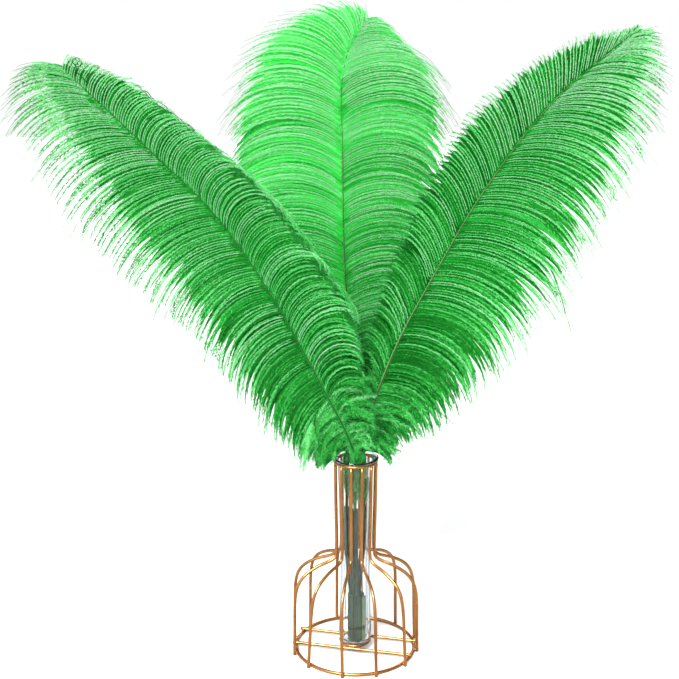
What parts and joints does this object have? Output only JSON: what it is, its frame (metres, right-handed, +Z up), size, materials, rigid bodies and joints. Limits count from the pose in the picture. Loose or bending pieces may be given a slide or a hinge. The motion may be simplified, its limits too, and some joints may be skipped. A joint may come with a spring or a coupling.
{
  "type": "ostrich plumes in a wire vase",
  "caption": "Dyed green ostrich plumes fanned out of a clear glass tube that stands in a gold bottle-shaped wire-frame vase.",
  "frame": {"origin": "on the vase's upright axis, level with the surface the base ring stands on, which is the middle of the object's box in plan", "axes": "+Z up the vase, +X along the fan of plumes towards the right-hand plume, -Y towards the side it is looked at from, +Y towards the plume that leans back"},
  "size_m": [0.5899, 0.1754, 0.629],
  "materials": {
    "dyed_plume": "soft, dyed bright green",
    "floral_tape": "waxed crepe paper, grey-green",
    "clear_glass": "clear",
    "gold_wire": "gold lacquer, satin"
  },
  "bodies": {
    "root": {"feather_left": "dyed_plume", "feather_middle": "dyed_plume", "feather_right": "dyed_plume", "stem_tape_left": "floral_tape", "stem_tape_middle": "floral_tape", "stem_tape_right": "floral_tape", "stem_binding": "floral_tape", "glass_tube": "clear_glass", "base_ring": "gold_wire", "top_ring": "gold_wire", "seat_ring": "gold_wire", "upright_wire_01": "gold_wire", "upright_wire_02": "gold_wire", "upright_wire_03": "gold_wire", "upright_wire_04": "gold_wire", "upright_wire_05": "gold_wire", "upright_wire_06": "gold_wire", "upright_wire_07": "gold_wire", "upright_wire_08": "gold_wire", "upright_wire_09": "gold_wire", "upright_wire_10": "gold_wire", "upright_wire_11": "gold_wire", "upright_wire_12": "gold_wire", "crossbar_back": "gold_wire", "crossbar_front": "gold_wire"}
  },
  "joints": []
}
